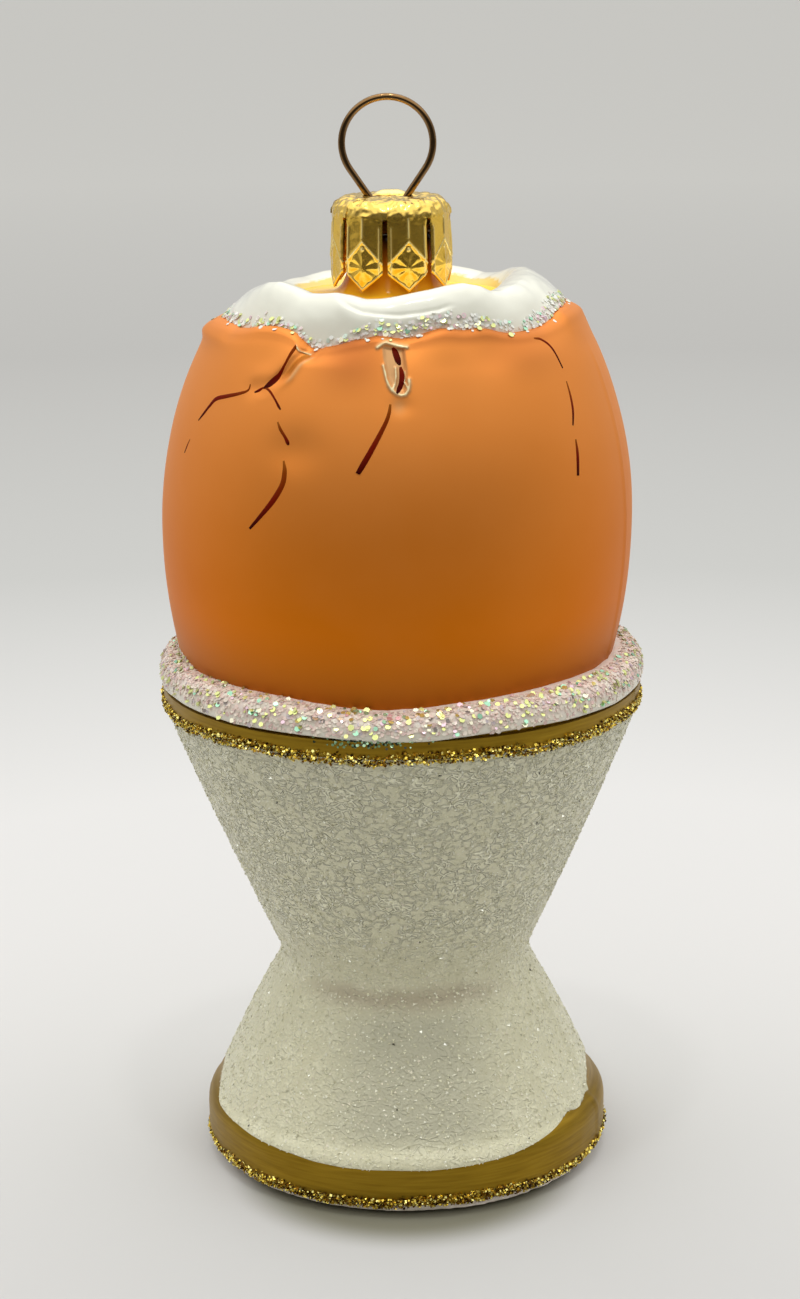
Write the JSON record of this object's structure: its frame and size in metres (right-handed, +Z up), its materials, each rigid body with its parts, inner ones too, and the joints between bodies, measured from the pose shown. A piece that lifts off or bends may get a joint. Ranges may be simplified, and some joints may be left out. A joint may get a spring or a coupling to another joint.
{
  "type": "glass hanging ornament in the form of a boiled egg in its egg cup",
  "caption": "Blown-glass ornament shaped as an opened boiled egg standing in a footed egg cup, with a gold crown cap and a wire loop to hang it by.",
  "frame": {"origin": "middle of the flat base that the ornament stands on", "axes": "+Z up through the egg and the hanger; -Y faces the front, where the cracked side of the shell is"},
  "size_m": [0.0522, 0.0522, 0.1173],
  "materials": {
    "shell_lacquer": "satin orange-brown lacquer over blown glass, with dark painted cracks",
    "egg_white_gloss": "thick glossy white enamel",
    "yolk_gloss": "glossy transparent yellow lacquer over silvered glass",
    "cup_frost": "cream paint with a fine sparkling frost of glass flakes",
    "gold_paint": "satin olive-gold bronze paint",
    "gold_glitter": "loose gold glitter",
    "clear_glitter": "colour-shifting clear flakes",
    "crack_paint": "brushed dark red-brown lines",
    "cap_gold": "bright pressed gold-coloured sheet",
    "hanger_brass": "darkened brass spring wire"
  },
  "bodies": {
    "root": {"glass_body": "shell_lacquer", "cap": "cap_gold", "hanger_wire": "hanger_brass"}
  },
  "joints": []
}
